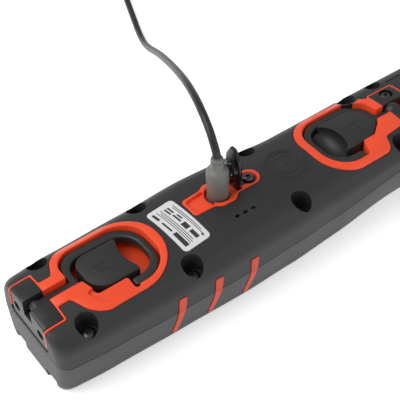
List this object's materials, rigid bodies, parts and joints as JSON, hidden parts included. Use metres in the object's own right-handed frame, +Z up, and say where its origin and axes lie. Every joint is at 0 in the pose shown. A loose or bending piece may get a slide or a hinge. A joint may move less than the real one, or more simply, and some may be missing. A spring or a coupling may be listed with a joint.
{
  "type": "work light",
  "caption": "Slim rechargeable inspection work light lying lens down, with fold-away hooks, magnet pads, a torch end and its charging cable plugged in.",
  "frame": {"origin": "centre of the light's footprint, on the surface it lies on, without the cable", "axes": "+X along the body from the handle end to the torch end, +Y across it, +Z up out of its back face"},
  "size_m": [0.2614, 0.2881, 0.0784],
  "materials": {
    "charcoal_shell": "fine moulded grain, soft sheen",
    "grey_shell": "fine moulded grain",
    "red_grip": "soft matte",
    "red_plastic": "semi-gloss",
    "black_plastic": "satin",
    "hook_coating": "matte charcoal powder coat",
    "dark_steel": "black oxide",
    "bright_steel": "nickel plated",
    "circuit_board": "green solder mask",
    "aluminium": "satin",
    "black_rubber": "glossy moulded",
    "label_paper": "printed film",
    "clear_lens": "clear polycarbonate",
    "white_plastic": "white reflector",
    "led_phosphor": "phosphor gel",
    "cell_wrap": "shrink sleeve",
    "cable_jacket": "matte jacket",
    "plug_grey": "moulded"
  },
  "bodies": {
    "housing": {"rear_shell": "charcoal_shell", "front_shell": "grey_shell", "grip_stripe_near_1": "red_grip", "grip_stripe_near_2": "red_grip", "grip_stripe_near_3": "red_grip", "grip_stripe_far_1": "red_grip", "grip_stripe_far_2": "red_grip", "grip_stripe_far_3": "red_grip", "handle_hook_tray": "red_plastic", "head_hook_tray": "red_plastic", "handle_bracket": "black_plastic", "handle_hook_pin": "bright_steel", "handle_magnet_pad": "black_plastic", "head_magnet_pad": "black_plastic", "handle_magnet": "bright_steel", "head_magnet": "bright_steel", "bracket_screw_near": "dark_steel", "clamp_plate_near": "black_plastic", "clamp_screw_near": "dark_steel", "bracket_screw_far": "dark_steel", "clamp_plate_far": "black_plastic", "clamp_screw_far": "dark_steel", "port_surround": "red_plastic", "charging_socket": "bright_steel", "charging_board": "circuit_board", "flap_strap": "black_rubber", "flap_screw": "dark_steel", "rating_label": "label_paper", "housing_screw_near_1": "dark_steel", "housing_screw_far_1": "dark_steel", "housing_screw_near_2": "dark_steel", "housing_screw_far_2": "dark_steel", "housing_screw_near_3": "dark_steel", "housing_screw_far_3": "dark_steel", "housing_screw_near_4": "dark_steel", "housing_screw_far_4": "dark_steel", "housing_screw_near_5": "dark_steel", "housing_screw_far_5": "dark_steel", "front_lens": "clear_lens", "reflector_frame": "white_plastic", "led_strip": "led_phosphor", "led_board": "aluminium", "heat_sink": "aluminium", "main_board": "circuit_board", "button_switch": "black_plastic", "battery_cell": "cell_wrap", "torch_lens": "clear_lens", "torch_reflector": "aluminium", "torch_led": "circuit_board", "lamp_plug": "plug_grey", "lamp_plug_tip": "bright_steel", "charging_cable": "cable_jacket", "cable_coil": "cable_jacket", "cable_tie": "black_plastic", "charger_plug": "plug_grey", "charger_plug_tip": "bright_steel"},
    "handle_hook": {"handle_hook": "hook_coating"},
    "head_hook": {"head_hook": "hook_coating"},
    "flap": {"port_flap": "black_rubber"},
    "button": {"power_button": "black_rubber"}
  },
  "joints": [
    {"name": "handle_hook_fold", "type": "hinge", "parent": "housing", "child": "handle_hook", "pos_m": [-0.1238, 0, 0.0346], "axis": [0, -1, 0], "range_deg": [0, 180]},
    {"name": "head_hook_fold", "type": "hinge", "parent": "housing", "child": "head_hook", "pos_m": [0.0806, 0, 0.036], "axis": [0, 1, 0], "range_deg": [0, 140]},
    {"name": "port_flap_bend", "type": "hinge", "parent": "housing", "child": "flap", "pos_m": [-0.0174, 0.0026, 0.041], "axis": [0, 1, 0], "range_deg": [-4, 35]},
    {"name": "power_button_press", "type": "slide", "parent": "housing", "child": "button", "axis": [0, 0, 1], "range_m": [0, 0.0008], "stiffness_N_per_m": 800, "springref_m": -0.0012}
  ]
}
